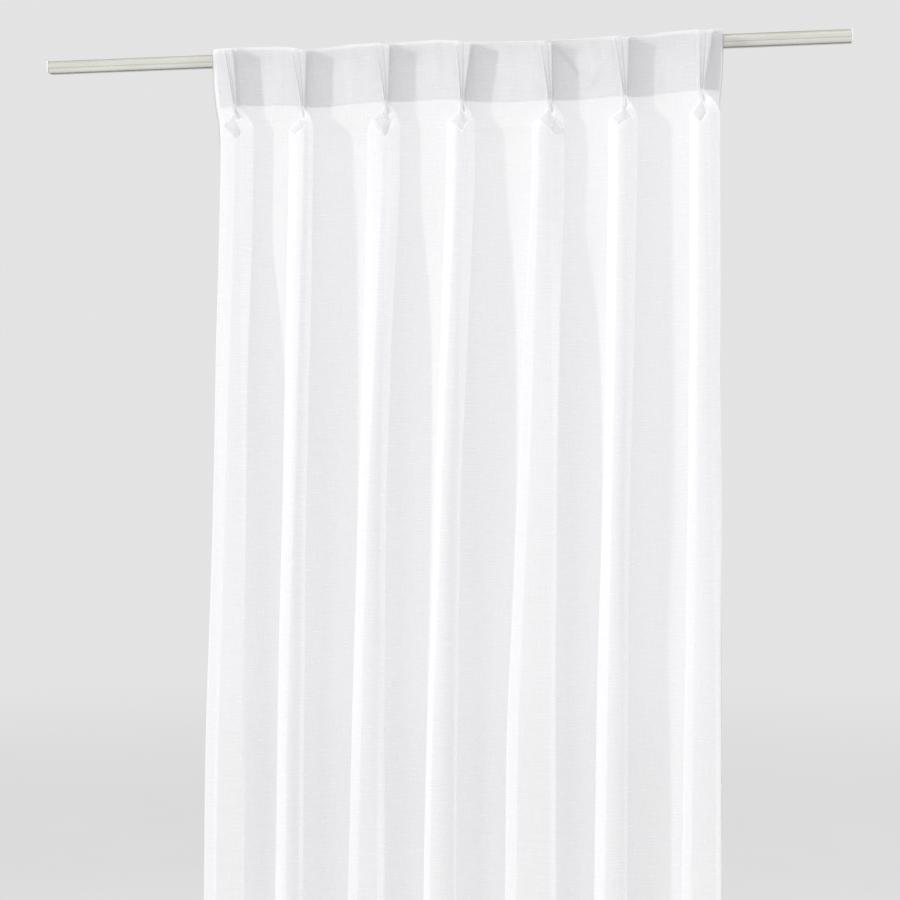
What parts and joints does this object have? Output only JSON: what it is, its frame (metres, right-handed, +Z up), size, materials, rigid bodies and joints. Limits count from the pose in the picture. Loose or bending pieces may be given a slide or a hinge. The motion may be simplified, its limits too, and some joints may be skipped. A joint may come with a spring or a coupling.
{
  "type": "sheer voile curtain with ceiling rail",
  "caption": "Floor-length sheer white linen-look voile curtain with pinch pleats, hung by hooks and gliders from a slim straight ceiling rail.",
  "frame": {"origin": "middle of the rail's flat top face", "axes": "+X along the rail to the right as seen from the pleated front, +Y to the back of the curtain, +Z up out of the rail's top face"},
  "size_m": [1.2306, 0.0748, 2.4],
  "materials": {
    "voile": "sheer slub voile",
    "heading_tape": "woven polyester tape",
    "aluminium": "satin anodised",
    "plastic": "moulded"
  },
  "bodies": {
    "root": {"voile_panel": "voile", "heading_tape": "heading_tape", "rail": "aluminium", "end_cap_left": "plastic", "end_cap_right": "plastic", "glider_1": "plastic", "glider_2": "plastic", "glider_3": "plastic", "glider_4": "plastic", "glider_5": "plastic", "glider_6": "plastic", "glider_7": "plastic", "glider_8": "plastic", "glider_9": "plastic", "hook_1": "plastic", "hook_2": "plastic", "hook_3": "plastic", "hook_4": "plastic", "hook_5": "plastic", "hook_6": "plastic", "hook_7": "plastic", "hook_8": "plastic", "hook_9": "plastic"}
  },
  "joints": []
}
